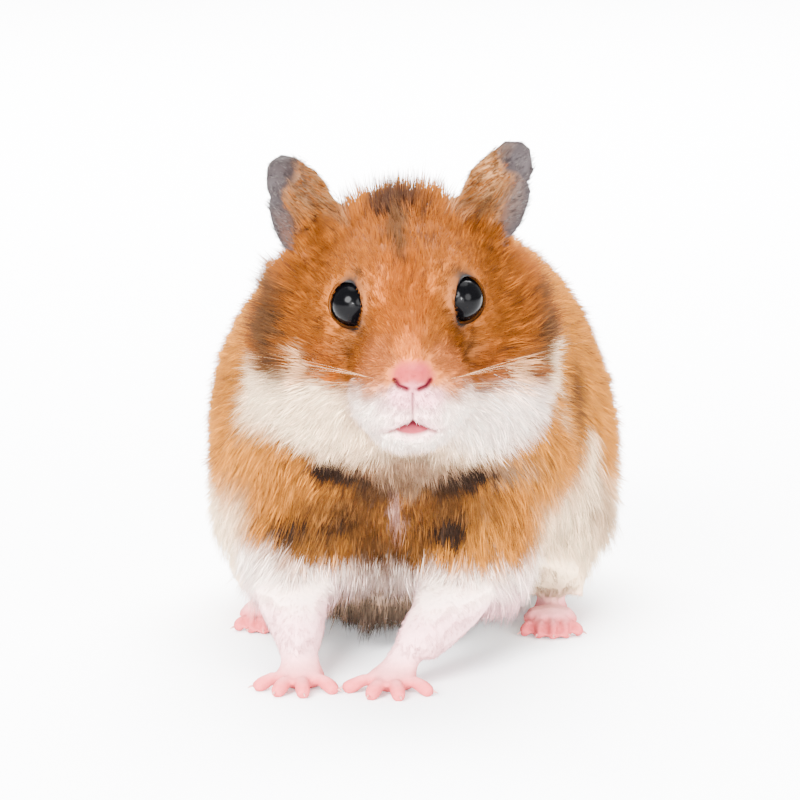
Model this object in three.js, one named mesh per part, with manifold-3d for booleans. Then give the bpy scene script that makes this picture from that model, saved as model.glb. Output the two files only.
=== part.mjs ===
// A life-size Syrian hamster, crouched on all fours with its head raised, as a set of closed solids.
// Millimetres, +Z up. The animal faces -Y, so its left side is at +X.
// The solids hold the outline of the coat: the fur stands inside them.
import * as THREE from "three";
import { mergeVertices } from "three/addons/utils/BufferGeometryUtils.js";
import Module from "manifold-3d";

const wasm = await Module();
wasm.setup();

// ---- Driving dimensions ----
const GAP = 0.3; // clear space at each cut between two parts
const BACK_HEIGHT = 59.5;
const HALF_BREADTH = 28.5;
const BELLY_CLEARANCE = 1.6; // the coat of the belly over the floor
const EYE_RADIUS = 3.2;
const EAR_LENGTH = { left: 15.5, right: 14.8 };
const EAR_BREADTH = { root: 13, tip: 8.6 };
const EAR_THICKNESS = 1.1;
const EAR_EDGE = 0.35; // the smaller, the flatter the ear is up to its edge
const EAR_ROOT = 4; // how deep the ear sits in the head
const EAR_TIP_SHIFT = 1.8; // how far the tip stands outward
const EAR_LOBE_SHIFT = { left: 1.6, right: 2.8 }; // how far its foot stands outward
const EAR_CUP = { across: 2.4, along: 1.4 }; // how deeply it is cupped
const EAR_LEAN = { back: -0.1, out: 0.33, turn: -0.45 }; // radians
const TOE_RADIUS = 1;
const FOREPAW = { toe: 4.1, palm: [3.8, 3.6, 2.1] };
const HINDPAW = { toe: 3.6, palm: [4.2, 3.8, 2.1] };
const PALM_HEIGHT = 1.7; // of its middle, so that the pad is pressed flat on the floor
const TOE_PRESS = 0.48; // how far a toe tip is pressed flat
const TAIL_LENGTH = 12;
const TAIL_RADII = [2.3, 1.9, 0.9]; // from its root to its tip

// How widely the forms that meet melt into each other.
const MELT = { trunk: 7, body: 5, head: 5, nose: 2.4, mouth: 1.2, foreleg: 4, hindleg: 6 };

const HEAD_PLACE = new THREE.Vector3(0.8, -30, 50); // between the temples
const HEAD_YAW = THREE.MathUtils.degToRad(2); // nose towards +X
const HEAD_ROLL = THREE.MathUtils.degToRad(-2.2); // left side raised
const HEAD = new THREE.Matrix4()
  .makeRotationFromEuler(new THREE.Euler(0, HEAD_ROLL, HEAD_YAW))
  .setPosition(HEAD_PLACE);
const TO_HEAD = HEAD.clone().invert();
const SIDES = { left: 1, right: -1 };

const vec = ([x, y, z]) => new THREE.Vector3(x, y, z);

// ---- Distance fields: negative inside, in millimetres ----
function ellipsoid(centre, radii, lean = [0, 0, 0]) {
  const c = vec(centre);
  const r = vec(radii);
  const turn = new THREE.Matrix4().makeRotationFromEuler(new THREE.Euler(...lean)).invert();
  return (p) => {
    const q = p.clone().sub(c).applyMatrix4(turn);
    const near = Math.hypot(q.x / r.x, q.y / r.y, q.z / r.z);
    const slope = Math.hypot(q.x / r.x ** 2, q.y / r.y ** 2, q.z / r.z ** 2);
    return slope < 1e-9 ? -Math.min(r.x, r.y, r.z) : (near * (near - 1)) / slope;
  };
}

function taper(from, to, fromRadius, toRadius) {
  const a = vec(from);
  const axis = vec(to).sub(a);
  const squared = axis.lengthSq();
  return (p) => {
    const q = p.clone().sub(a);
    const t = THREE.MathUtils.clamp(q.dot(axis) / squared, 0, 1);
    return q.addScaledVector(axis, -t).length() - THREE.MathUtils.lerp(fromRadius, toRadius, t);
  };
}

function softLower(a, b, k) {
  const h = Math.max(k - Math.abs(a - b), 0) / k;
  return Math.min(a, b) - (h * h * k) / 4;
}

function blend(k, ...fields) {
  return (p) => fields.reduce((d, field) => softLower(d, field(p), k), 1e3);
}

function hollow(field, tool, k) {
  return (p) => -softLower(-field(p), tool(p), k);
}

const inHead = (field) => (p) => field(p.clone().applyMatrix4(TO_HEAD));
const mirrored = (make) => Object.values(SIDES).map(make);

// ---- The head, in its own frame: origin between the temples, nose at -Y ----
const EYE_PLACE = [7.15, -9.4, 3.6];
const EAR_PLACE = [11.6, 5, 13];
const NOSE_TIP = [0, -21.8, -4.5];

function headField() {
  const skull = ellipsoid([0, 6, 3.5], [14.5, 16, 14]);
  const bridge = taper([0, -4, 3.4], [0, -18.6, -3], 8.8, 4.1);
  const chin = ellipsoid([0, -11.5, -12.8], [6.2, 8, 4.8]);
  const ruffs = mirrored((s) => ellipsoid([s * 11, 7.5, -1], [9.6, 12, 11.5]));
  const pouches = mirrored((s) => ellipsoid([s * 11.4, 3.5, -8.6], [10, 13, 9.6]));
  const whiskerPads = mirrored((s) => ellipsoid([s * 3.9, -14.8, -7.8], [5.2, 6.8, 4.9]));
  const brows = mirrored((s) => ellipsoid([s * 5.6, -6.4, 7.4], [3.2, 4.4, 3]));
  const flesh = blend(MELT.head, skull, bridge, chin, ...ruffs, ...pouches, ...whiskerPads, ...brows);
  const noseTip = ellipsoid(NOSE_TIP, [2.5, 2.1, 1.8]);
  const mouth = ellipsoid([0, -19, -12.1], [2.5, 3.4, 0.8]);
  const philtrum = taper([0, -23, -7], [0, -21.2, -11.4], 0.5, 0.7);
  const face = blend(MELT.nose, flesh, noseTip);
  return hollow(hollow(face, mouth, MELT.mouth), philtrum, MELT.mouth);
}

// ---- The trunk and limbs, in the model's frame ----
const MIDDLE = 30; // height of the trunk's axis
const RIB_DEPTH = BACK_HEIGHT - MIDDLE;

function trunkField() {
  const ribs = ellipsoid([-0.6, 3, MIDDLE], [HALF_BREADTH - 0.6, 24, RIB_DEPTH - 1]);
  const shoulders = ellipsoid([-1, -9, MIDDLE], [24.5, 19, RIB_DEPTH - 3]);
  const loin = ellipsoid([3, 17, MIDDLE - 0.5], [HALF_BREADTH, 24, RIB_DEPTH]);
  const rump = ellipsoid([6.2, 31, MIDDLE - 3], [25, 20.5, RIB_DEPTH - 4.5]);
  const breast = ellipsoid([-1, -17, 26], [14, 11.5, 15]);
  const nape = ellipsoid([0.3, -15, 46.5], [18, 16, 15]);
  const throat = ellipsoid([0.3, -24, 35], [19, 13, 11]);
  return blend(MELT.trunk, ribs, shoulders, loin, rump, breast, nape, throat);
}

const FORELEGS = {
  left: { shoulder: [13, -15.5, 26.5], elbow: [12.2, -20.5, 13.5], wrist: [1.8, -37.6, 5] },
  right: { shoulder: [-15.2, -14.5, 26.5], elbow: [-15.6, -20, 13.5], wrist: [-13.5, -36.2, 5] },
};
const HINDLEGS = {
  left: { haunch: [20.6, 17, 21], knee: [23, 8, 13], ankle: [22.2, 0.6, 5] },
  right: { haunch: [-15.4, 14, 21], knee: [-19.3, 8.6, 13], ankle: [-18.6, 3.6, 5] },
};

function forelegField({ shoulder, elbow, wrist }) {
  return blend(MELT.foreleg, taper(shoulder, elbow, 12.2, 8.4), taper(elbow, wrist, 6.9, 3.4));
}

function hindlegField({ haunch, knee, ankle }) {
  return blend(MELT.hindleg, ellipsoid(haunch, [13, 18.5, 17.5]), taper(knee, ankle, 9.5, 4.6));
}

const legs = Object.keys(SIDES).flatMap((side) => [
  forelegField(FORELEGS[side]),
  hindlegField(HINDLEGS[side]),
]);
const bodyField = blend(MELT.body, trunkField(), inHead(headField()), ...legs);
const wholeField = (p) => Math.max(bodyField(p), BELLY_CLEARANCE - p.z);

// ---- Meshing ----
const PULL_ROUNDS = 3; // steps that bring a vertex onto the surface
const LEAST_SLOPE = 0.2; // keeps a step finite where the field is flat
const EVENING_ROUNDS = 3;
const FARTHEST_PULL = 1.5; // in grid cells

// Grid planes from low to high, whose spacing may change along the way.
function planes(low, high, spacing) {
  const found = [low];
  while (found.at(-1) < high) {
    found.push(found.at(-1) + (typeof spacing === "number" ? spacing : spacing(found.at(-1))));
  }
  return found;
}

function slopeOf(field, p, reach = 0.05) {
  const along = (axis) => {
    const ahead = p.clone();
    const behind = p.clone();
    ahead[axis] += reach;
    behind[axis] -= reach;
    return (field(ahead) - field(behind)) / (2 * reach);
  };
  return new THREE.Vector3(along("x"), along("y"), along("z"));
}

function pulledOnto(field, p, most) {
  const start = p.clone();
  for (let round = 0; round < PULL_ROUNDS; round++) {
    const slope = slopeOf(field, p);
    p.addScaledVector(slope, -field(p) / Math.max(slope.lengthSq(), LEAST_SLOPE));
  }
  return p.distanceTo(start) > most ? p.copy(start) : p;
}

// A closed mesh of the field's surface: one vertex in each grid cell that the surface crosses,
// evened out along the surface and pulled back onto it.
function surfaceNet(field, xs, ys, zs) {
  const size = [xs.length, ys.length, zs.length];
  const at = (i, j, k) => (k * size[1] + j) * size[0] + i;
  const values = new Float64Array(size[0] * size[1] * size[2]);
  const eachNode = (visit) => {
    for (let k = 0; k < size[2]; k++)
      for (let j = 0; j < size[1]; j++) for (let i = 0; i < size[0]; i++) visit(i, j, k);
  };
  eachNode((i, j, k) => {
    values[at(i, j, k)] = field(new THREE.Vector3(xs[i], ys[j], zs[k]));
  });
  const steps = [
    [1, 0, 0],
    [0, 1, 0],
    [0, 0, 1],
  ];
  const vertexOf = new Map();
  const sums = [];
  const faces = [];
  const addTo = (i, j, k, point) => {
    const cell = at(i, j, k);
    if (!vertexOf.has(cell)) {
      vertexOf.set(cell, sums.length);
      sums.push({ point: new THREE.Vector3(), count: 0 });
    }
    const sum = sums[vertexOf.get(cell)];
    sum.point.add(point);
    sum.count += 1;
    return vertexOf.get(cell);
  };
  eachNode((i, j, k) => {
    const here = values[at(i, j, k)];
    steps.forEach(([di, dj, dk], axis) => {
      if (i + di >= size[0] || j + dj >= size[1] || k + dk >= size[2]) return;
      const there = values[at(i + di, j + dj, k + dk)];
      if (here < 0 === there < 0) return;
      const t = here / (here - there);
      const crossing = new THREE.Vector3(xs[i], ys[j], zs[k]).lerp(
        new THREE.Vector3(xs[i + di], ys[j + dj], zs[k + dk]),
        t,
      );
      const [u, v] = [steps[(axis + 1) % 3], steps[(axis + 2) % 3]];
      const round = [
        [0, 0],
        [1, 0],
        [1, 1],
        [0, 1],
      ].map(([a, b]) =>
        addTo(i - a * u[0] - b * v[0], j - a * u[1] - b * v[1], k - a * u[2] - b * v[2], crossing),
      );
      faces.push(here < 0 ? round : round.reverse());
    });
  });
  const points = sums.map(({ point, count }) => point.divideScalar(count));
  const most = FARTHEST_PULL * (xs[1] - xs[0]);
  points.forEach((p) => pulledOnto(field, p, most));
  for (let round = 0; round < EVENING_ROUNDS; round++) evenOut(points, faces, field, most);
  const triangles = faces.flatMap(([a, b, c, d]) =>
    points[a].distanceTo(points[c]) < points[b].distanceTo(points[d])
      ? [a, b, c, a, c, d]
      : [a, b, d, b, c, d],
  );
  return new THREE.BufferGeometry().setFromPoints(points).setIndex(triangles);
}

function evenOut(points, faces, field, most) {
  const means = points.map(() => ({ sum: new THREE.Vector3(), count: 0 }));
  faces.forEach((face) =>
    face.forEach((a, n) => {
      means[a].sum.add(points[face[(n + 1) % 4]]);
      means[a].count += 1;
    }),
  );
  points.forEach((p, n) => {
    const mean = means[n].sum.divideScalar(means[n].count);
    pulledOnto(field, p.lerp(mean, 0.5), most);
  });
}

// ---- Solids: joined and cut ----
function solid(geometry) {
  const bare = geometry.clone();
  ["normal", "uv"].forEach((name) => bare.deleteAttribute(name));
  const merged = mergeVertices(bare, 1e-3);
  const made = new wasm.Manifold(
    new wasm.Mesh({
      numProp: 3,
      vertProperties: merged.attributes.position.array,
      triVerts: new Uint32Array(merged.index.array),
    }),
  );
  if (made.status() !== "NoError" && made.status() !== 0) throw new Error("an open mesh");
  return made;
}

function geometryOf(made) {
  const { vertProperties, triVerts } = made.getMesh();
  const flat = new THREE.BufferGeometry()
    .setAttribute("position", new THREE.BufferAttribute(vertProperties, 3))
    .setIndex(new THREE.BufferAttribute(triVerts, 1));
  flat.computeVertexNormals();
  return flat;
}

// The largest piece of a cut solid, without its loose crumbs.
function mainPiece(made) {
  return made.decompose().reduce((a, b) => (a.volume() > b.volume() ? a : b));
}

// A region that a cut follows: an ellipsoid, grown by the gap for the part on its outside.
function region(centre, radii, place = new THREE.Matrix4(), sides = 12) {
  const shaped = (grow) =>
    new THREE.SphereGeometry(1, sides, sides / 2)
      .scale(...radii.map((r) => r + grow))
      .translate(...centre)
      .applyMatrix4(place);
  return { inside: solid(shaped(0)), outside: solid(shaped(GAP)) };
}

// ---- Regions ----
const HEAD_REGION = region([0, -1.6, -1], [33, 26.5, 22.2], HEAD, 18);
const NOSE_CUT = { centre: [0, -22.6, -4.5], radii: [2.3, 2.6, 1.65] };
const NOSE_REGION = region(NOSE_CUT.centre, NOSE_CUT.radii, HEAD, 10);
const turned = (degrees, x, y) =>
  new THREE.Matrix4().makeRotationZ(THREE.MathUtils.degToRad(degrees)).setPosition(x, y, 0);
const FORELEG_REGIONS = {
  left: region([0, 0, 15], [12.4, 22, 20.6], turned(-24, 9.2, -25.5)),
  right: region([0, 0, 15], [12.4, 19, 20.6], turned(-4, -16.2, -23)),
};
const HINDLEG_REGIONS = {
  left: region([23, 13, 16.5], [15, 20.5, 20]),
  right: region([-18.2, 11, 16.5], [15, 18.5, 20]),
};
const FOREPAW_REGIONS = {
  left: region([-0.7, -41.2, 0], [9.5, 9, 4.8]),
  right: region([-13.5, -39.6, 0], [9.5, 9, 4.8]),
};
const HINDPAW_REGIONS = {
  left: region([21.8, -0.8, 0], [9.5, 14.5, 4.2]),
  right: region([-18.8, 2.4, 0], [9.5, 14.5, 4.2]),
};

// ---- Materials ----
const finish = (color, roughness) => new THREE.MeshStandardMaterial({ color, roughness });
const COAT_GOLD = finish(0xc9762f, 0.85);
const COAT_CREAM = finish(0xefe4d6, 0.85);
const BARE_SKIN = finish(0xe9a4a0, 0.55);
const EAR_SKIN = finish(0x7d7270, 0.7);
const EYE_BLACK = finish(0x0b0a0c, 0.08);

const hamster = new THREE.Group();
function addPart(name, made, material) {
  const part = new THREE.Mesh(geometryOf(made), material);
  part.name = name;
  hamster.add(part);
  return part;
}

// ---- The whole flesh, in one mesh that is finest about the muzzle and the wrists ----
const FLESH_BOX = { x: [-36, 42], y: [-61, 62], z: [-4, 74] };
const { clamp } = THREE.MathUtils;
const acrossSpacing = (x) => clamp(2.4 + (Math.abs(x - HEAD_PLACE.x) - 7) * 0.16, 2.4, 5);
const alongSpacing = (y) => clamp(1.8 + (y + 50) * 0.12, 1.8, 7.4);
const upSpacing = (z) => clamp(2.8 + (z - 5) * 0.12, 2.8, 4.6);
const flesh = solid(
  surfaceNet(
    wholeField,
    planes(...FLESH_BOX.x, acrossSpacing),
    planes(...FLESH_BOX.y, alongSpacing),
    planes(...FLESH_BOX.z, upSpacing),
  ),
);

// ---- Nose tip ----
const NOSE_GRID = { reach: 4.5, spacing: 1.4, margin: 0.6 };
// Meshed more finely than the rest, within its own small region.
function noseTip() {
  const rim = ellipsoid(NOSE_CUT.centre, NOSE_CUT.radii.map((r) => r + NOSE_GRID.margin));
  const clipped = (p) => Math.max(wholeField(p), inHead(rim)(p));
  const middle = vec(NOSE_CUT.centre).applyMatrix4(HEAD);
  const { reach, spacing } = NOSE_GRID;
  const grid = ["x", "y", "z"].map((a) => planes(middle[a] - reach, middle[a] + reach, spacing));
  return mainPiece(solid(surfaceNet(clipped, ...grid)).intersect(NOSE_REGION.inside));
}

// ---- Ears ----
// A flattened ball, cupped along its length and leaning on the temple.
function earGeometry(side, grow = 0) {
  const s = SIDES[side];
  const ear = new THREE.SphereGeometry(1, 12, 7).rotateX(Math.PI / 2);
  const place = ear.attributes.position;
  for (let n = 0; n < place.count; n++) {
    const p = new THREE.Vector3().fromBufferAttribute(place, n);
    const up = (p.z + 1) / 2;
    const breadth = THREE.MathUtils.lerp(EAR_BREADTH.root, EAR_BREADTH.tip, up) / 2 + grow;
    const outward = s * (EAR_TIP_SHIFT * up * up + EAR_LOBE_SHIFT[side] * (1 - up));
    const cup = EAR_CUP.across * p.x * p.x * (1 - 0.5 * up) + EAR_CUP.along * (1 - up) ** 2;
    const thickness = (EAR_THICKNESS / 2 + grow) * Math.sign(p.y) * Math.abs(p.y) ** EAR_EDGE;
    const height = up * (EAR_LENGTH[side] + 2 * grow) - EAR_ROOT - grow;
    place.setXYZ(n, p.x * breadth + outward, thickness - cup, height);
  }
  const lean = new THREE.Euler(EAR_LEAN.back, s * EAR_LEAN.out, s * EAR_LEAN.turn, "ZYX");
  const seat = new THREE.Matrix4().makeRotationFromEuler(lean);
  seat.setPosition(s * EAR_PLACE[0], EAR_PLACE[1], EAR_PLACE[2]);
  return ear.applyMatrix4(seat).applyMatrix4(HEAD);
}

// ---- Eyes ----
function eyeGeometry(side, radius) {
  const [x, y, z] = EYE_PLACE;
  return new THREE.SphereGeometry(radius, 12, 7).translate(side * x, y, z).applyMatrix4(HEAD);
}

// ---- A bent, tapering limb with round ends, from a lathe profile laid along a curve ----
const BLUNT_END = 0.25; // how far the round ends are from coming to a point
function alongCurve(points, radii, sides = 8, steps = 5) {
  const curve = new THREE.CatmullRomCurve3(points.map(vec));
  const length = curve.getLength();
  const radiusAt = (t) => {
    const n = t * (radii.length - 1);
    const low = Math.min(Math.floor(n), radii.length - 2);
    return THREE.MathUtils.lerp(radii[low], radii[low + 1], n - low);
  };
  const profile = [new THREE.Vector2(0, 0)];
  for (let n = 0; n <= steps; n++) {
    const t = n / steps;
    const inset = Math.min(t, 1 - t) * length;
    const round = Math.sqrt(1 - (1 - Math.min((inset + BLUNT_END) / radiusAt(t), 1)) ** 2);
    profile.push(new THREE.Vector2(radiusAt(t) * round, t));
  }
  profile.push(new THREE.Vector2(0, 1));
  const shape = new THREE.LatheGeometry(profile, sides);
  const place = shape.attributes.position;
  const across = new THREE.Vector3();
  const raised = new THREE.Vector3();
  for (let n = 0; n < place.count; n++) {
    const t = place.getY(n);
    const along = curve.getTangentAt(t);
    across.crossVectors(along, new THREE.Vector3(0, 0, 1)).normalize();
    raised.crossVectors(across, along);
    const p = curve
      .getPointAt(t)
      .addScaledVector(across, place.getX(n))
      .addScaledVector(raised, place.getZ(n));
    place.setXYZ(n, p.x, p.y, p.z);
  }
  return shape;
}

// ---- Paws ----
const FLOOR_BLOCK = solid(new THREE.BoxGeometry(200, 200, 20).translate(0, 0, -10));

// Toes spread from the middle of a palm, at angles in degrees from straight ahead.
function toes(palm, angles, start, length) {
  return angles.map((degrees, n) => {
    const a = THREE.MathUtils.degToRad(degrees);
    const out = (distance, height) => [
      palm[0] + Math.sin(a) * distance,
      palm[1] - Math.cos(a) * distance,
      height,
    ];
    const fromMiddle = Math.abs(n - (angles.length - 1) / 2);
    const reach = start + length * (1 - 0.06 * fromMiddle);
    const path = [
      out(start * 0.6, TOE_RADIUS * 1.8),
      out(start + 0.35 * (reach - start), TOE_RADIUS * 1.65),
      out(reach, TOE_RADIUS - TOE_PRESS),
    ];
    const radii = [0.95, 0.92, 1.08].map((part) => part * TOE_RADIUS);
    return solid(alongCurve(path, radii, 6, 2));
  });
}

function paw(cut, palm, angles, { toe, palm: size }, limb) {
  const pad = solid(
    new THREE.SphereGeometry(1, 8, 5).scale(...size).translate(palm[0], palm[1], PALM_HEIGHT),
  );
  const joined = [...toes(palm, angles, size[0] * 0.73, toe), ...limb].reduce((a, b) => a.add(b), pad);
  return mainPiece(joined.subtract(FLOOR_BLOCK).intersect(cut.inside));
}

function forepaw(cut, [x, y], lean, angles) {
  const wrist = [x + lean, y + 2.7, 5.6];
  const arm = solid(alongCurve([[x, y + 0.4, 1.6], wrist], [2.7, 3.5], 8, 2));
  return paw(cut, [x, y], angles, FOREPAW, [arm]);
}

function hindpaw(cut, [x, y], angles) {
  const heel = [x + 0.6, y + 12, 1.9];
  const ankle = [x + 0.5, y + 9.4, 7.5];
  const sole = solid(alongCurve([[x, y + 1, 1.9], heel], [2.6, 2.4], 8, 2));
  const shank = solid(alongCurve([heel, ankle], [2, 3.4], 7, 2));
  return paw(cut, [x, y], angles, HINDPAW, [sole, shank]);
}

const FOREPAWS = {
  left: forepaw(FOREPAW_REGIONS.left, [-1, -39.8], 2, [-72, -26, 8, 52]),
  right: forepaw(FOREPAW_REGIONS.right, [-13.5, -38.2], 0, [-66, -28, 4, 46]),
};
const HINDPAWS = {
  left: hindpaw(HINDPAW_REGIONS.left, [21.7, -4.4], [-40, -17, 2, 20, 42]),
  right: hindpaw(HINDPAW_REGIONS.right, [-19.2, -1.2], [-42, -20, -2, 17, 40]),
};

// ---- Tail ----
const TAIL_ROOT = [8.2, 46, 18];
function tailGeometry(grow) {
  const along = (part, fall) => [
    TAIL_ROOT[0] + part * TAIL_LENGTH * 0.2,
    TAIL_ROOT[1] + part * TAIL_LENGTH * 0.9,
    TAIL_ROOT[2] - fall,
  ];
  const line = [TAIL_ROOT, along(0.6, 1.2), along(1, 3.4)];
  return alongCurve(line, TAIL_RADII.map((r) => r + grow), 8, 6);
}

// ---- Assembly ----
const without = (made, ...regions) => regions.reduce((a, cut) => a.subtract(cut.outside), made);

let head = without(flesh.intersect(HEAD_REGION.inside), NOSE_REGION);
let trunk = without(flesh, HEAD_REGION).subtract(solid(tailGeometry(GAP)));
Object.entries(SIDES).forEach(([side, s]) => {
  const [fore, hind] = [FORELEG_REGIONS[side], HINDLEG_REGIONS[side]];
  const [forepawCut, hindpawCut] = [FOREPAW_REGIONS[side], HINDPAW_REGIONS[side]];
  const neighbours = side === "left" ? [FORELEG_REGIONS.right] : [];
  const foreleg = without(flesh.intersect(fore.inside), HEAD_REGION, forepawCut, ...neighbours);
  const hindleg = without(flesh.intersect(hind.inside), fore, hindpawCut);
  trunk = without(trunk, fore, hind, hindpawCut);
  head = head.subtract(solid(eyeGeometry(s, EYE_RADIUS + GAP))).subtract(solid(earGeometry(side, GAP)));
  addPart("ear_" + side, solid(earGeometry(side)), EAR_SKIN);
  addPart("eye_" + side, solid(eyeGeometry(s, EYE_RADIUS)), EYE_BLACK);
  addPart("foreleg_" + side, mainPiece(foreleg), COAT_CREAM);
  addPart("forepaw_" + side, FOREPAWS[side], BARE_SKIN);
  addPart("hindleg_" + side, mainPiece(hindleg), COAT_GOLD);
  addPart("hindpaw_" + side, HINDPAWS[side], BARE_SKIN);
});
addPart("head", mainPiece(head), COAT_GOLD);
addPart("nose", noseTip(), BARE_SKIN);
addPart("trunk", mainPiece(trunk), COAT_GOLD);
addPart("tail", solid(tailGeometry(0)), COAT_CREAM);

// The origin is on the floor, under the middle of the animal.
const box = new THREE.Box3().setFromObject(hamster);
hamster.position.set(-(box.min.x + box.max.x) / 2, -(box.min.y + box.max.y) / 2, -box.min.z);

export default hamster;
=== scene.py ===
import math

import bpy
import numpy as np
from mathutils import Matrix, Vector


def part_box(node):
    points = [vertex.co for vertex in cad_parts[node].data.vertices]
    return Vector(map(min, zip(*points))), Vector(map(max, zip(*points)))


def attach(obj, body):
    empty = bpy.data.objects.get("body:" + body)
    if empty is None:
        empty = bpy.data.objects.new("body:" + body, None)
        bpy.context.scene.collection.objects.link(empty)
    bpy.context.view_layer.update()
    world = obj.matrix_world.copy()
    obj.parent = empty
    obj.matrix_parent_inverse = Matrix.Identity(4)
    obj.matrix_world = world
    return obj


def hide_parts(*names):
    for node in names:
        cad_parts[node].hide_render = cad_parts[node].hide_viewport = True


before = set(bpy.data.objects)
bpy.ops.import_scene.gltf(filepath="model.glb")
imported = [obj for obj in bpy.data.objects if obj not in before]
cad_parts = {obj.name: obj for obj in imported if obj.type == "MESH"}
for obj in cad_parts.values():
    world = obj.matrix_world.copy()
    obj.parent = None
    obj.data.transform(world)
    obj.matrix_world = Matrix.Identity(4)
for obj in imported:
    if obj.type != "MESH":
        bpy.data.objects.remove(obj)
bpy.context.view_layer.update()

MM = 0.001
SEED = 11
dice = np.random.default_rng(SEED)

# ---- Driving sizes, in millimetres ----
SEAM_GROW = 0.26  # closes the thin cuts between the CAD nodes of flesh
VOXEL = 0.38
SKIN_TRIANGLES = 170000
FINE_PIECES = 5  # straight blades of 4 triangles
FINE_BLADES = 49000  # in each piece
FINE_IN_TUFT = 7
LONG_PIECES = 2  # bent blades of 10 triangles, over the fine ones
LONG_BLADES = 19600
LONG_IN_TUFT = 4
HAIR_HALF_WIDTH = 0.034
HAIR_LIFT = 0.28  # how steeply the hairs stand, as a share of their length
SPIKY_SHARE = 0.35  # of the tufts on the crown, which stand up
TICKED_SHARE = 0.09  # of the golden tufts, which have dark tips
ROOT_SINK = 0.12  # how far the roots start under the skin
LOWEST_TIP = 0.25  # above the floor
UV_PATCH = 0.003
BODY_DEPTH = 2.2  # how far the skin lies inside the coat's outline
CROWN_DEPTH = 1.4
CHEEK_DEPTH = 2.1
EYE_RING_DEPTH = 0.45
MUZZLE_DEPTH = 0.55
LIP_DEPTH = 0.16
LEG_DEPTH = 0.3
EAR_BASE_DEPTH = 0.5
LOW_BELLY_MIDDLE = (-5, -14, 7.7)  # the loose skin that hangs between the legs
LOW_BELLY_HALF = (13, 11, 5.6)
EYE_AXES = {"left": (0.62, -0.79, -0.04), "right": (-0.4, -0.92, -0.1)}  # the way each eye looks out
LID_OPENING = {"left": (2.1, 2.7), "right": (1.85, 2.7)}  # half-width and half-height
LID_RISE = 0.3  # how far the lids stand out of the skin over the eyeball
LID_THICKNESS = 0.5
CLAW_LENGTH = 1.0
CLAW_ROOT_RADIUS = 0.24
CLAW_TIP_RADIUS = 0.05
WHISKER_ROWS = 4
WHISKERS_IN_ROW = 5
WHISKER_HALF_WIDTH = 0.024
BUMP_DEPTH = 0.12
FLOOR_SIZE = 12000

# ---- Colours, linear ----
HEAD_GOLD = (0.165, 0.045, 0.0045)
BODY_GOLD = (0.4, 0.145, 0.017)
ORANGE = (0.23, 0.052, 0.003)
DEEP_GOLD = (0.15, 0.038, 0.005)
BUFF = (0.27, 0.075, 0.017)
PALE_BUFF = (0.6, 0.32, 0.16)
PALE_PEACH = (0.42, 0.105, 0.014)
BEIGE = (0.34, 0.21, 0.12)
CREAM = (0.88, 0.64, 0.4)
WHITE = (0.93, 0.73, 0.62)
LEG_WHITE = (0.68, 0.37, 0.38)
LINE_PINK = (0.6, 0.33, 0.27)
BEIGE_GREY = (0.19, 0.12, 0.075)
# partly the grey underfur and partly painted shade under the belly
BELLY_GREY_AND_SHADE = (0.045, 0.03, 0.022)
BROWN = (0.058, 0.026, 0.01)
DARK_BROWN = (0.016, 0.009, 0.006)
LAVENDER_PINK = (0.5, 0.2, 0.23)
LIP_RED = (0.2, 0.03, 0.04)
# partly the red lining and partly painted shade in the nostrils, the cleft and the mouth
HOLLOW_RED_AND_SHADE = (0.05, 0.004, 0.008)
NOSE_PINK = (0.22, 0.016, 0.029)
PAW_PINK = (0.45, 0.075, 0.08)
PAW_BACK = (0.62, 0.24, 0.24)
EAR_GREY = (0.024, 0.019, 0.0195)
# painted shade for the ear's dish, hollow and crease
EAR_SHADE = (0.0075, 0.0045, 0.005)
EAR_HAIR = (0.1, 0.085, 0.08)
EAR_BUFF = (0.17, 0.085, 0.04)
LID_DARK = (0.001, 0.0008, 0.0008)
EYE_BLACK = (0.0007, 0.0007, 0.0009)
CLAW_PINK = (0.45, 0.17, 0.15)
FLOOR_WHITE = (0.95, 0.955, 0.97)
ROOM_WHITE = (0.97, 0.985, 1.0)


# ---- Small tools ----
def vec(*numbers):
    return np.array(numbers, float)


def unit(v):
    return v / np.maximum(np.linalg.norm(v, axis=-1, keepdims=True), 1e-9)


def ramp(x, low, high):
    t = np.clip((x - low) / (high - low), 0, 1)
    return t * t * (3 - 2 * t)


def blob(p, centre, radii, soft=0.35):
    """1 inside an ellipsoid and 0 outside it, with a soft rim."""
    far = np.linalg.norm((p - vec(*centre)) / vec(*radii), axis=1)
    return 1 - ramp(far, 1 - soft, 1 + soft)


def wander(p, size, shift=0.0):
    """A smooth wavering value from -1 to 1, with waves about size long."""
    q = p * (2 * math.pi / size) + shift
    a = np.sin(q[:, 0] + 1.7 * np.sin(0.61 * q[:, 1] + 0.4))
    b = np.sin(1.13 * q[:, 1] + 1.9 * np.sin(0.53 * q[:, 2] + 1.1))
    c = np.sin(0.91 * q[:, 2] + 1.5 * np.sin(0.67 * q[:, 0] + 2.3))
    return (a + b + c) / 3


def line_distance(p, line):
    """Distance from each point to a line of a few corners."""
    nearest = np.full(len(p), 1e9)
    for start, end in zip(line[:-1], line[1:]):
        a = vec(*start)
        along = vec(*end) - a
        t = np.clip(((p - a) @ along) / (along @ along), 0, 1)
        nearest = np.minimum(nearest, np.linalg.norm(p - a - t[:, None] * along, axis=1))
    return nearest


def towards(value, goal, share):
    return value + (goal - value) * share


def mixed(colour, other, share):
    """One colour, or a row of them, moved towards another by each share."""
    return towards(np.array(colour, float), np.array(other, float), share[:, None])


def box_mm(node):
    low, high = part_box(node)
    return np.array(low) / MM, np.array(high) / MM


def middle_mm(node):
    low, high = box_mm(node)
    return (low + high) / 2


def only(piece):
    bpy.ops.object.select_all(action="DESELECT")
    piece.select_set(True)
    bpy.context.view_layer.objects.active = piece


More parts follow.
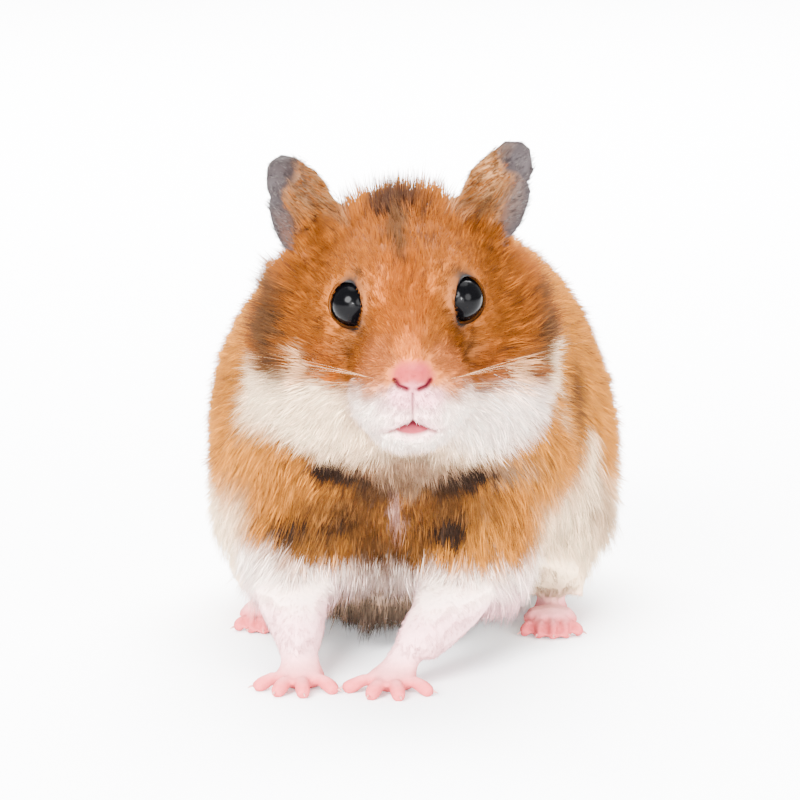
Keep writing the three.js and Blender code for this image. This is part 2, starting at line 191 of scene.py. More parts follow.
def joined(pieces, name):
    bpy.ops.object.select_all(action="DESELECT")
    for piece in pieces:
        piece.select_set(True)
    bpy.context.view_layer.objects.active = pieces[0]
    bpy.ops.object.join()
    pieces[0].name = name
    return pieces[0]


def ball(segments, rings, radius):
    bpy.ops.object.select_all(action="DESELECT")
    bpy.ops.mesh.primitive_uv_sphere_add(segments=segments, ring_count=rings, radius=radius * MM)
    return bpy.context.object


def finish_with(piece, kind, **settings):
    """Adds a modifier and applies it."""
    only(piece)
    modifier = piece.modifiers.new(kind.lower(), kind)
    for name, value in settings.items():
        setattr(modifier, name, value)
    bpy.ops.object.modifier_apply(modifier=modifier.name)


def smooth(piece, factor, rounds, group=""):
    finish_with(piece, "SMOOTH", factor=factor, iterations=rounds, vertex_group=group)


def read_points(piece):
    flat = np.zeros(len(piece.data.vertices) * 3, np.float32)
    piece.data.vertices.foreach_get("co", flat)
    return flat.reshape(-1, 3).astype(float) / MM


def write_points(piece, p):
    piece.data.vertices.foreach_set("co", (p * MM).astype(np.float32).ravel())
    piece.data.update()


def read_normals(piece):
    flat = np.zeros(len(piece.data.vertices) * 3, np.float32)
    piece.data.vertex_normals.foreach_get("vector", flat)
    return flat.reshape(-1, 3).astype(float)


def weigh(piece, name, weight):
    """A vertex group in ten steps."""
    group = piece.vertex_groups.new(name=name)
    steps = np.round(weight * 10).astype(int)
    for step in range(1, 11):
        group.add(np.nonzero(steps == step)[0].tolist(), step / 10, "REPLACE")
    return name


# ---- Places on the animal, worked out from the frame ----
SIDES = ("left", "right")
OUTWARD = {"left": 1, "right": -1}
EYES = {side: middle_mm("eye_" + side) for side in SIDES}
EYE_RADIUS = (box_mm("eye_left")[1][0] - box_mm("eye_left")[0][0]) / 2
NOSE = middle_mm("nose")
HEAD_MIDDLE = vec(*(EYES["left"] + EYES["right"]) / 2) + vec(0, 9, -4)
EARS = {side: box_mm("ear_" + side) for side in SIDES}
EAR_FRONT, EAR_FOOT = EARS["left"][0][1:]
EAR_TOP = EARS["left"][1][2]
FOREPAWS = {side: box_mm("forepaw_" + side) for side in SIDES}
HINDPAWS = {side: box_mm("hindpaw_" + side) for side in SIDES}
PAW_NAMES = [kind + side for kind in ("forepaw_", "hindpaw_") for side in SIDES]
PAWS = [box_mm(name) for name in PAW_NAMES]
TAIL = box_mm("tail")

NOSTRILS = [
    [NOSE + vec(-2.3, 0.2, -0.5), NOSE + vec(-1.8, -0.5, -1.2), NOSE + vec(-0.8, -1.0, -1.5)],
    [NOSE + vec(2.3, 0.0, -0.5), NOSE + vec(1.8, -0.6, -1.2), NOSE + vec(0.9, -1.0, -1.5)],
]
PHILTRUM = [NOSE + vec(0, -0.8, -2.2), NOSE + vec(0, 1.2, -6.2)]
LIPS = [
    NOSE + vec(*corner)
    for corner in ((-3.8, 2.5, -8.3), (-2.0, 1.6, -7.5), (0, 1.3, -6.4), (1.9, 2.0, -7.5), (3.6, 2.6, -8.1))
]
MOUTH_MIDDLE = NOSE + vec(0, 1.8, -7.4)


def within(p, box, grow, soft=0.6):
    """1 inside a box grown on every side, fading to 0 just outside it."""
    low, high = box
    out = np.maximum(np.maximum(low - grow - p, p - high - grow), 0)
    return 1 - ramp(np.linalg.norm(out, axis=1), 0, soft)


def paw_part(p):
    parts = [within(p, box, 0.25, 0.7) * (1 - ramp(p[:, 2], 2.8, 5.4)) for box in PAWS]
    return np.max(parts, axis=0)


def ear_place(p, side):
    """How far each point is outward of an ear's middle and below its top."""
    low, high = EARS[side]
    return (p[:, 0] - (low[0] + high[0]) / 2) * OUTWARD[side], high[2] - p[:, 2]


def whole_ear(p):
    parts = []
    for side, (low, high) in EARS.items():
        outward, down = ear_place(p, side)
        base = 11.5 + 3.0 * ramp(outward, -2.5, 1.0)
        box = (vec(low[0], low[1], high[2] - 14), high)
        parts.append(within(p, box, 0.3, 0.8) * (1 - ramp(down, base - 1.5, base)))
    return np.max(parts, axis=0)


def ear_part(p):
    """The dark outer side of the ears. Their inner side is haired like the crown."""
    outer = []
    for side in EARS:
        outward, down = ear_place(p, side)
        near = np.abs(p[:, 0] - EARS[side][0][0]) < 20
        edge = 2.0 * np.exp(-(((down - 6.6) / 2.4) ** 2)) + 0.6 * ramp(down, 8, 12)
        outer.append(near * ramp(outward - edge + 0.6 * wander(p, 2.6), -0.9, 0.9))
    return np.max(outer, axis=0) * whole_ear(p)


def ear_shade(p):
    """Painted shade in the dish, the small hollow and the crease at the foot of the outer lobe."""
    found = []
    for side in EARS:
        outward, down = ear_place(p, side)
        found.append(np.exp(-((np.hypot((outward - 0.4) / 1.9, (down - 3.6) / 2.2)) ** 2)))
        found.append(np.exp(-((np.hypot(outward + 1.8, down - 6.9) / 0.9) ** 2)))
        found.append(np.exp(-((np.hypot((outward - 0.6) / 0.9, (down - 10.5) / 2.6)) ** 2)))
    return np.max(found, axis=0) * whole_ear(p) * (1 - ramp(p[:, 1], EAR_FRONT + 3.5, EAR_FRONT + 4.5))


def front_distance(p, line):
    """Distance to a line over the face as it is seen from the front."""
    flat = p * vec(1, 0, 1)
    found = line_distance(flat, [point * vec(1, 0, 1) for point in line])
    return found + 10 * ramp(p[:, 1], NOSE[1] + 5, NOSE[1] + 7)


def nose_part(p):
    return blob(p, NOSE + vec(0, 1.0, 0), (2.7, 3.2, 2.2), 0.3)


def eye_distance(p):
    return np.minimum(*(np.linalg.norm(p - centre, axis=1) for centre in EYES.values()))


def lip_part(p):
    mouth = blob(p, MOUTH_MIDDLE, (4.4, 3.2, 2.4), 0.4)
    return np.maximum(mouth, blob(p, NOSE + vec(0, 1, -2.6), (4.0, 3.2, 2.8), 0.4))


def mouth_part(p):
    """The open mouth and the crease between the lips."""
    crease = 0.8 * np.exp(-((front_distance(p, LIPS) / 0.3) ** 2))
    across, down = p[:, 0] - NOSE[0], NOSE[2] - p[:, 2]
    lower_edge = 8.45 - 0.13 * across**2
    opening = ramp(down - 6.2 - 0.5 * np.abs(across), -0.15, 0.3) * (1 - ramp(down - lower_edge, -0.35, 0.2))
    return np.maximum(crease, opening * (1 - ramp(p[:, 1], NOSE[1] + 5, NOSE[1] + 7)))


def nostril_part(p):
    return np.exp(-((np.minimum(*(front_distance(p, line) for line in NOSTRILS)) / 0.36) ** 2))


def philtrum_part(p):
    return np.exp(-((front_distance(p, PHILTRUM) / 0.17) ** 2))


def muzzle_part(p):
    return blob(p, NOSE + vec(0.2, 4, -2.6), (8.6, 9.0, 8.4), 0.75)


def head_part(p):
    skull = blob(p, HEAD_MIDDLE + vec(0, 2, -4), (24, 22, 23), 0.18)
    return np.maximum(skull, blob(p, NOSE + vec(0, 7, -3), (14, 14, 13.5), 0.2))


def leg_part(p):
    """The thinly haired lower legs, round a line from each paw up to its elbow or ankle."""
    parts = []
    for side, (low, high) in FOREPAWS.items():
        shoulder = middle_mm("foreleg_" + side)
        paw = (low + high) / 2 + vec(0, 2, 1)
        elbow = vec(0.2 * paw[0] + 0.8 * shoulder[0], paw[1] + 6, 12.5)
        parts.append((1 - ramp(line_distance(p, [paw, elbow]), 6.3, 9.0)) * (1 - ramp(p[:, 2], 10.5, 14.5)))
    for low, high in HINDPAWS.values():
        middle = (low + high) / 2
        parts.append(blob(p, (middle[0], middle[1] + 2, 5), (7, 10, 5.5), 0.3))
    return np.max(parts, axis=0)


def wrist_part(p):
    """Where each foreleg runs into its paw."""
    parts = []
    for low, high in FOREPAWS.values():
        middle = (low + high) / 2
        parts.append(blob(p, (middle[0] + 2.5, middle[1] + 5.5, 5.2), (8, 8, 4.2), 0.3))
    return np.max(parts, axis=0)


def tail_part(p):
    return within(p, TAIL, 0.4, 1.2) * ramp(p[:, 1], TAIL[1][1] - 7.5, TAIL[1][1] - 4.5)


def bare_part(p):
    return np.max([paw_part(p), nose_part(p), tail_part(p)], axis=0)


def fine_part(p):
    """Where the skin is meshed finely: the muzzle and the lids."""
    muzzle = blob(p, NOSE + vec(0, 2.5, -3.6), (5.4, 5.5, 6.4), 0.05)
    return np.maximum(muzzle, 1 - ramp(eye_distance(p), EYE_RADIUS + 0.9, EYE_RADIUS + 1.0))


def coat_depth(p):
    """How thick the coat lies at each point, in millimetres."""
    cheek = ramp(np.abs(p[:, 0] - HEAD_MIDDLE[0]), 9, 16) * (1 - ramp(p[:, 2], 52, 60))
    head = towards(CROWN_DEPTH, CHEEK_DEPTH, cheek)
    around_eye = 1 - ramp(eye_distance(p), EYE_RADIUS + 1.2, EYE_RADIUS + 7)
    head = towards(head, EYE_RING_DEPTH, around_eye)
    head = towards(head, MUZZLE_DEPTH, muzzle_part(p))
    head = towards(head, LIP_DEPTH, lip_part(p))
    head = head * ramp(eye_distance(p), EYE_RADIUS + 0.5, EYE_RADIUS + 1.2)
    depth = towards(BODY_DEPTH, head, head_part(p))
    depth = towards(depth, LEG_DEPTH, leg_part(p))
    depth = towards(depth, EAR_BASE_DEPTH * (1 - 0.8 * ear_part(p)), whole_ear(p))
    return depth * (1 - bare_part(p))


# ---- The skin ----
def flesh_copy(name):
    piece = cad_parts[name].copy()
    piece.data = piece.data.copy()
    piece.parent = None
    for key in list(piece.keys()):
        del piece[key]
    piece.data.materials.clear()
    bpy.context.scene.collection.objects.link(piece)
    only(piece)
    bpy.ops.object.mode_set(mode="EDIT")
    bpy.ops.mesh.select_all(action="SELECT")
    bpy.ops.mesh.remove_doubles(threshold=0.01 * MM)
    bpy.ops.mesh.normals_make_consistent(inside=False)
    bpy.ops.object.mode_set(mode="OBJECT")
    finish_with(piece, "DISPLACE", strength=SEAM_GROW * MM, mid_level=0.0)
    return piece


def eye_axis(side):
    return unit(vec(*EYE_AXES[side]))


def lid_reach(p, side):
    """0 in the middle of an eye's opening, 1 on its rim and more outside, and the distance from the eye."""
    axis = eye_axis(side)
    across = unit(np.cross(vec(0, 0, 1), axis))
    away = p - EYES[side]
    distance = np.linalg.norm(away, axis=1)
    away = unit(away) * EYE_RADIUS
    wide, tall = LID_OPENING[side]
    reach = np.hypot(away @ across / wide, away @ np.cross(axis, across) / tall)
    return np.where(away @ axis > 0, reach, 5.0), distance


def lid_distance(p):
    """Rough distance from each point to the nearer eye's lids, 0 within their rim."""
    found = []
    for side in EYES:
        reach, distance = lid_reach(p, side)
        beside = np.maximum(reach - 1, 0) * LID_OPENING[side][1]
        above = np.maximum(distance - EYE_RADIUS - 0.6, 0)
        found.append(np.hypot(beside, above))
    return np.min(found, axis=0)


def lid_part(p):
    """The bare dark skin of the lids and what lies within them."""
    return 1 - ramp(lid_distance(p), 0.28, 0.46)


def make_lids(side):
    """A shell round the eyeball, open where it looks out, that the remesh melts into the skin."""
    lids = ball(128, 80, EYE_RADIUS + 0.03 + LID_THICKNESS / 2)
    write_points(lids, read_points(lids) + EYES[side])
    opened = lid_reach(read_points(lids), side)[0] < 1
    lids.data.vertices.foreach_set("select", opened)
    lids.data.edges.foreach_set("select", np.zeros(len(lids.data.edges), bool))
    lids.data.polygons.foreach_set("select", np.zeros(len(lids.data.polygons), bool))
    only(lids)
    bpy.ops.object.mode_set(mode="EDIT")
    bpy.ops.mesh.delete(type="VERT")
    bpy.ops.object.mode_set(mode="OBJECT")
    finish_with(lids, "SOLIDIFY", thickness=LID_THICKNESS * MM, offset=0.0)
    return lids


def model_lids(p):
    """Lays the skin over each eyeball, with a low rim round its opening, and takes it in under that."""
    for side in EYES:
        reach, distance = lid_reach(p, side)
        rim = LID_RISE * np.exp(-(((reach - 1.08) / 0.1) ** 2))
        cover = EYE_RADIUS + 0.14 + rim
        covered = np.maximum(distance, cover)
        opened = np.minimum(distance, EYE_RADIUS - 0.5)
        wanted = towards(opened, covered, ramp(reach, 0.94, 1.04))
        near = distance < EYE_RADIUS + 1.2
        p = np.where(near[:, None], EYES[side] + unit(p - EYES[side]) * wanted[:, None], p)
    return p


def press(p, direction, distance, width, depth):
    """Moves points along a direction, most where the distance is nought."""
    return p + direction * (depth * np.exp(-((distance / width) ** 2)))[:, None]


def model_face(p, n):
    """The nose pad and nostrils, the cleft lip and the mouth."""
    p = press(p, n, np.linalg.norm(p - NOSE - vec(0, -1.2, 0.3), axis=1), width=1.9, depth=0.35)
    inward = vec(0, 1, 0)
    for line in NOSTRILS:
        p = press(p, inward, front_distance(p, line), width=0.34, depth=1.0)
    p = press(p, inward, front_distance(p, PHILTRUM), width=0.24, depth=0.55)
    for side in (-1, 1):
        pad = NOSE + vec(2.5 * side, 0.9, -3.9)
        p = press(p, n, np.linalg.norm(p - pad, axis=1), width=1.9, depth=0.45)
    p = press(p, inward, front_distance(p, LIPS), width=0.32, depth=0.5)
    p = p + inward * (0.8 * mouth_part(p))[:, None]
    lower_lip = front_distance(p, [NOSE + vec(-1.8, 2.6, -8.9), NOSE + vec(1.8, 2.6, -8.9)])
    return press(p, n, lower_lip, width=0.55, depth=0.35)


def model_ears(p, n):
    """Dishes the front of each ear, with a notch in its outer edge, a fold in from it and a hollow."""
    for side, (low, high) in EARS.items():
        outward, down = ear_place(p, side)
        near = (np.abs(outward) < 8) * ramp(p[:, 2], low[2], low[2] + 3)
        front = near * ramp(-n[:, 1], 0.2, 0.7)
        half = (high[0] - low[0]) / 2
        dish = np.exp(-((outward / 3.0) ** 2) - ((down - 6.5) / 4.5) ** 2)
        fold = np.exp(-(((down - 5.9 + 0.25 * (half - outward)) / 0.55) ** 2)) * ramp(outward, -0.6, 1.4)
        hollow = np.exp(-((np.hypot(outward + 1.8, down - 6.7) / 1.0) ** 2))
        p = p + vec(0, 1, 0) * (front * (0.5 * dish + 0.35 * fold + 0.5 * hollow))[:, None]
        notch = near * np.exp(-(((down - 5.8) / 0.7) ** 2)) * ramp(outward, half - 3.0, half)
        p = p - vec(OUTWARD[side], 0, 0) * (0.55 * notch)[:, None]
    return p


def toe_tips(paw):
    """The small flats at the toe ends of a paw, told from the palm's larger one by their four corners."""
    flat = np.zeros(len(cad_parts[paw].data.vertices) * 3, np.float32)
    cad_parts[paw].data.vertices.foreach_get("co", flat)
    points = flat.reshape(-1, 3) / MM
    floor = np.unique(np.round(points[points[:, 2] < 0.02], 2), axis=0)
    groups = []
    for point in floor:
        near = [group for group in groups if min(np.linalg.norm(point - other) for other in group) < 0.9]
        if near:
            near[0].append(point)
        else:
            groups.append([point])
    return [np.mean(group, axis=0) for group in groups if len(group) == 4]


def model_paws(p, n):
    """Fills out the toes, and parts the hind ones with grooves."""
    for paw in PAW_NAMES:
        for toe in toe_tips(paw):
            width, depth = (0.9, 0.4) if paw.startswith("hind") else (1.5, 0.45)
            p = press(p, n, np.linalg.norm(p - toe - vec(0, 0.7, 1.0), axis=1), width, depth)
        if paw.startswith("hind"):
            toes = sorted(toe_tips(paw), key=lambda toe: toe[0])
            for one, other in zip(toes, toes[1:]):
                middle = (one + other) / 2
                groove = [middle + vec(0, -1.0, 1.0), middle + vec(0, 2.6, 2.6)]
                p = press(p, -n, line_distance(p, groove), width=0.42, depth=0.6)
    return p


def refine(piece, wanted):
    """Divides each face whose corners are all wanted into sixteen."""
    mesh = piece.data
    edges = np.zeros(len(mesh.edges) * 2, np.int32)
    mesh.edges.foreach_get("vertices", edges)
    mesh.vertices.foreach_set("select", wanted)
    mesh.edges.foreach_set("select", wanted[edges.reshape(-1, 2)].all(axis=1))
    mesh.polygons.foreach_set("select", [bool(wanted[list(face.vertices)].all()) for face in mesh.polygons])
    only(piece)
    bpy.ops.object.mode_set(mode="EDIT")
    bpy.ops.mesh.subdivide(number_cuts=3)
    bpy.ops.mesh.quads_convert_to_tris()
    bpy.ops.object.mode_set(mode="OBJECT")


def make_belly():
    """The loose belly that hangs between the legs."""
    belly = ball(64, 40, 1)
    write_points(belly, vec(*LOW_BELLY_MIDDLE) + vec(*LOW_BELLY_HALF) * read_points(belly))
    return belly


def make_skin():
    pieces = [flesh_copy(name) for name in sorted(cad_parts) if not name.startswith("eye_")]
    pieces.append(make_belly())
    pieces += [make_lids(side) for side in EYES]
    skin = joined(pieces, "skin")
    finish_with(skin, "REMESH", mode="VOXEL", voxel_size=VOXEL * MM)
    p = read_points(skin)
    away_from_lids = ramp(lid_distance(p), 0.6, 1.6)
    furred = (1 - bare_part(p)) * (1 - 0.75 * muzzle_part(p))
    furred = furred * (1 - 0.6 * leg_part(p)) * (1 - 0.8 * whole_ear(p))
    smooth(skin, 0.5, 3)
    group = weigh(skin, "under_coat", furred * away_from_lids)
    smooth(skin, 0.6, 24, group)
    p = read_points(skin)
    p = p - read_normals(skin) * (coat_depth(p) + SEAM_GROW)[:, None]
    write_points(skin, p)
    smooth(skin, 0.5, 6, group)
    wrists = weigh(skin, "wrists", wrist_part(read_points(skin)))
    smooth(skin, 0.6, 60, wrists)
    refine(skin, fine_part(read_points(skin)) > 0.5)
    fine = weigh(skin, "fine", fine_part(read_points(skin)))
    smooth(skin, 0.5, 10, fine)
    write_points(skin, model_lids(read_points(skin)))
    smooth(skin, 0.5, 2, fine)
    write_points(skin, model_face(read_points(skin), read_normals(skin)))
    write_points(skin, model_ears(read_points(skin), read_normals(skin)))
    write_points(skin, model_paws(read_points(skin), read_normals(skin)))
    p = read_points(skin)
    p[:, 2] = np.maximum(p[:, 2], 0)
    write_points(skin, p)
    coarse = weigh(skin, "coarse", (1 - fine_part(p)) * (1 - 0.6 * paw_part(p)))
    triangles = sum(len(face.vertices) - 2 for face in skin.data.polygons)
    finish_with(skin, "DECIMATE", ratio=min(1.0, SKIN_TRIANGLES / triangles), vertex_group=coarse)
    only(skin)
    bpy.ops.object.mode_set(mode="EDIT")
    bpy.ops.mesh.select_all(action="SELECT")
    bpy.ops.uv.smart_project(angle_limit=math.radians(66), island_margin=0.003)
    bpy.ops.object.mode_set(mode="OBJECT")
    skin.data.uv_layers[0].name = "OFBake"
    while len(skin.data.uv_layers) > 1:
        skin.data.uv_layers.remove(skin.data.uv_layers[-1])
    bpy.ops.object.shade_smooth()
    skin.vertex_groups.clear()
    return skin


# ---- The markings and painted shade, shared by skin and coat ----
MARKS_AND_SHADE = [
    # colour, centre, radii, strength, with later marks over earlier ones
    (CREAM, (-8.5, -40.0, 32.5), (9.0, 12.0, 3.2), 0.85),
    (CREAM, (7.0, -40.0, 32.0), (8.0, 12.0, 3.2), 0.85),
    (BEIGE_GREY, (-0.4, -34.5, 27.2), (8.1, 12.0, 2.4), 0.9),
    (BEIGE_GREY, (10.3, -31.8, 27.2), (7.4, 12.0, 1.8), 0.8),
    (CREAM, (-16.7, -38.7, 36.9), (8.9, 15.0, 5.3), 0.97),
    (WHITE, (12.1, -38.0, 36.2), (8.6, 15.0, 5.6), 0.97),
    (WHITE, (-0.5, -52.0, 38.6), (11.6, 12.0, 5.3), 0.95),
    # Painted shade under the chin.
    (BEIGE_GREY, (-0.8, -42.0, 30.4), (7.5, 10.0, 2.3), 0.85),
    (BEIGE_GREY, (-10.0, -38.0, 29.6), (6.5, 9.0, 1.3), 0.6),
    (BEIGE_GREY, (9.0, -37.0, 29.2), (6.5, 9.0, 1.3), 0.6),
    (CREAM, (-23.5, -28.0, 37.6), (3.6, 10.0, 6.0), 0.9),
    (CREAM, (19.6, -25.0, 40.5), (2.2, 9.0, 6.5), 0.8),
    (CREAM, (21.0, -19.0, 38.2), (1.2, 9.0, 6.5), 0.8),
    (BROWN, (-19.6, -26.5, 52.2), (3.6, 4.5, 3.2), 0.85),
    (BROWN, (-21.2, -29.5, 48.6), (3.4, 5.0, 3.6), 0.95),
    (BROWN, (-21.4, -33.0, 44.8), (3.2, 5.0, 3.2), 0.9),
    (BROWN, (-19.2, -37.5, 42.0), (2.0, 5.0, 2.4), 0.7),
    (BROWN, (18.6, -24.5, 52.4), (3.0, 4.5, 3.2), 0.85),
    (BROWN, (19.0, -28.0, 49.0), (2.6, 5.0, 3.6), 0.95),
    (BROWN, (18.6, -32.0, 45.6), (2.2, 5.0, 3.0), 0.8),
    (DEEP_GOLD, (-12.6, -40.2, 45.5), (3.6, 7.0, 2.9), 0.85),
    (ORANGE, (-12.9, -40.9, 43.6), (2.0, 6.0, 1.4), 0.8),
    (DEEP_GOLD, (10.4, -40.3, 43.9), (3.2, 7.0, 3.8), 0.9),
    # Painted shade on the inner cheeks, under the eyes.
    (BROWN, (-9.4, -40.7, 46.9), (1.2, 6.0, 2.2), 0.45),
    (BROWN, (7.3, -40.6, 47.1), (1.4, 6.0, 1.8), 0.5),
    (PALE_BUFF, (-16.5, -39.3, 44.2), (1.1, 6.0, 3.5), 0.85),
    (PALE_BUFF, (15.1, -38.9, 42.7), (1.2, 6.0, 3.5), 0.85),
    (PALE_BUFF, (12.5, -39.6, 40.4), (1.6, 6.0, 1.2), 0.7),
    (BUFF, (-5.8, -51.5, 46.6), (3.5, 7.0, 4.6), 0.9),
    (BUFF, (4.8, -51.6, 46.2), (3.5, 7.0, 4.4), 0.9),
    (PALE_PEACH, (-0.8, -52.9, 49.7), (1.9, 5.0, 2.9), 0.75),
    (LAVENDER_PINK, (-0.4, -53.3, 41.3), (4.6, 7.0, 3.1), 0.6),
    (LAVENDER_PINK, (-0.4, -53.0, 42.6), (3.2, 7.0, 1.9), 0.85),
    (LAVENDER_PINK, (-0.4, -51.6, 37.7), (4.6, 7.0, 1.4), 0.6),
    (WHITE, (-0.5, -50.4, 35.2), (4.9, 6.0, 1.4), 0.8),
    (ORANGE, (-2.1, -45.7, 55.8), (4.3, 8.0, 6.9), 0.6),
    (DARK_BROWN, (-2.1, -29.9, 66.8), (6.2, 8.0, 2.2), 0.9),
    (DARK_BROWN, (-4.3, -33.5, 65.4), (2.7, 7.0, 1.9), 0.7),
    (BROWN, (-2.4, -37.5, 63.8), (1.4, 7.0, 3.3), 0.85),
    (BROWN, (-2.1, -41.1, 61.1), (0.8, 6.0, 2.5), 0.55),
    (DARK_BROWN, (-7.8, -42.8, 57.6), (0.5, 3.0, 1.0), 0.7),
    (DARK_BROWN, (5.5, -42.3, 58.0), (0.5, 3.0, 0.8), 0.7),
    (BROWN, (-1.5, -34.3, 27.2), (1.4, 6.0, 1.8), 0.5),
    (DARK_BROWN, (-12.4, -33.7, 28.2), (3.5, 9.0, 1.8), 1),
    (DARK_BROWN, (-8.7, -34.5, 27.3), (3.8, 9.0, 1.9), 1),
    (DARK_BROWN, (-5.1, -31.3, 25.1), (3.0, 9.0, 1.7), 0.9),
    (DARK_BROWN, (8.6, -32.4, 27.0), (3.4, 9.0, 2.1), 1),
    (DARK_BROWN, (4.8, -33.1, 25.8), (3.6, 9.0, 1.9), 1),
    (BROWN, (-6.8, -30.6, 20.6), (5.7, 9.0, 6.4), 0.72),
    (BROWN, (-11.7, -29.8, 21.2), (6.2, 9.0, 3.3), 0.65),
    (BROWN, (2.3, -30.6, 20.6), (4.3, 9.0, 5.3), 0.72),
    (BROWN, (7.6, -30.6, 22.0), (5.4, 8.0, 3.3), 0.65),
    (BROWN, (-4.0, -28.2, 14.9), (5.7, 9.0, 3.3), 0.85),
    (DARK_BROWN, (-17.7, -29.5, 18.3), (3.2, 8.0, 1.7), 1),
    (DARK_BROWN, (-11.2, -29.4, 18.5), (3.2, 8.0, 1.7), 0.9),
    (BROWN, (-15.1, -30.2, 15.9), (5.7, 8.0, 1.9), 0.7),
    (DARK_BROWN, (4.8, -30.5, 18.1), (3.4, 8.0, 2.2), 1),
    (LINE_PINK, (-2.5, -31.5, 21.5), (0.7, 8.0, 4.4), 0.45),
    (WHITE, (-6.0, -23.9, 9.6), (6.8, 4.0, 1.4), 0.8),
    (CREAM, (22.3, -3.4, 9.7), (3.2, 9.0, 5.8), 0.9),
    (BROWN, (22.9, -11.3, 34.3), (1.3, 13.0, 9.5), 0.9),
    (CREAM, (25.4, -2.4, 21.5), (1.6, 9.0, 5.8), 0.85),
    (CREAM, (22.7, -3.5, 12.6), (2.4, 9.0, 4.7), 0.85),
    (BEIGE, (27.4, 0.0, 14.1), (2.2, 16.0, 5.0), 0.8),
    # Partly the grey underside fur and partly painted shade, low behind the right foreleg.
    (BEIGE_GREY, (20.4, -4.8, 5.3), (3.2, 9.0, 2.5), 0.8),
    (BODY_GOLD, (28.6, 3.3, 26.0), (2.0, 14.0, 8.6), 0.8),
]


def coat_colour(p):
    """The coat's colour at each point: a golden back, pale underside and the marks and painted shade over
    them, with the belly's grey and painted shade under it and between the legs.
    """
    q = p + 0.6 * np.stack([wander(p, 3.1), wander(p, 3.7, 2.0), wander(p, 3.3, 4.0)], axis=1)
    rich = 0.5 + 0.5 * wander(q, 17, 1.0)
    head_gold = np.maximum(head_part(q) * ramp(q[:, 2], 30, 37), 0.4 * rich)
    colour = mixed(BODY_GOLD, HEAD_GOLD, head_gold)
    back = ramp(q[:, 2], 46, 60) * ramp(q[:, 1], -12, 6)
    colour = mixed(colour, BROWN, 0.35 * back)
    pale_height = 19 + 4 * wander(q, 26, 3.0)
    behind = ramp(q[:, 1], -26, -18)
    colour = mixed(colour, PALE_BUFF, 0.6 * behind * (1 - ramp(q[:, 2], pale_height, pale_height + 6)))
    colour = mixed(colour, CREAM, behind * (1 - ramp(q[:, 2], pale_height - 5, pale_height + 2.5)))
    for tint, centre, radii, strength in MARKS_AND_SHADE:
        colour = mixed(colour, tint, strength * blob(q, centre, radii))
    between_legs = np.maximum(blob(q, (-5, -10, 7), (9, 14, 8)), blob(q, (-5, -14, 4.5), (13, 12.5, 5)))
    leg_height = 13 + 3 * ramp(np.abs(q[:, 0] + 1), 14, 22)
    legs = (1 - ramp(q[:, 2], leg_height - 1.6, leg_height + 1.6)) * (1 - between_legs)
    legs = legs * (1 - ramp(q[:, 1], -24, -16))
    colour = mixed(colour, mixed(LEG_WHITE, WHITE, ramp(q[:, 2], 8, 12.5)), legs)
    # Partly the grey underfur and partly painted shade: the underside and the fur between the legs are
    # darkened to a grey-brown.
    under = (1 - ramp(q[:, 2], 5, 10)) * ramp(q[:, 1], -24, -18) * (1 - ramp(q[:, 1], 36, 44))
    under = under * (1 - ramp(np.abs(q[:, 0]), 14, 20))
    colour = mixed(colour, BELLY_GREY_AND_SHADE, np.maximum(0.8 * under, 0.97 * between_legs))
    ears = whole_ear(q) * ramp(q[:, 2], EAR_TOP - 12.5, EAR_TOP - 8.5)
    colour = mixed(colour, EAR_BUFF, 0.8 * ears)
    return mixed(colour, BROWN, 0.4 * (1 - ramp(lid_distance(p), 0.5, 1.9)))


def skin_colour(p):
    """The coat's colour, with painted shade under long hair, and the bare parts over it, with painted shade
    in the ear's hollows and crease, the nostrils, the cleft and the mouth.
    """
    # Painted shade: darker where long hair lies over the skin.
    colour = coat_colour(p) * (1 - 0.45 * ramp(coat_depth(p), 0.6, 1.8))[:, None]
    colour = mixed(colour, mixed(PAW_PINK, PAW_BACK, ramp(p[:, 2], 1.4, 3.4)), paw_part(p))
    colour = mixed(colour, PAW_PINK, tail_part(p))
    colour = mixed(colour, EAR_GREY, ear_part(p))
    # Painted shade in the ear's dish, hollow and crease.
    colour = mixed(colour, EAR_SHADE, ear_shade(p))
    colour = mixed(colour, NOSE_PINK, nose_part(p))
    # Partly the red of the lining and partly painted shade in the nostrils, the cleft, the crease between
    # the lips and the open mouth.
    colour = mixed(colour, HOLLOW_RED_AND_SHADE, 0.7 * philtrum_part(p))
    colour = mixed(colour, mixed(HOLLOW_RED_AND_SHADE, LIP_RED, ramp(NOSE[2] - p[:, 2], 6.6, 8.2)), mouth_part(p))
    colour = mixed(colour, HOLLOW_RED_AND_SHADE, nostril_part(p))
    colour = mixed(colour, DARK_BROWN, 0.6 * (1 - ramp(lid_distance(p), 0.3, 0.9)))
    return mixed(colour, LID_DARK, lid_part(p))


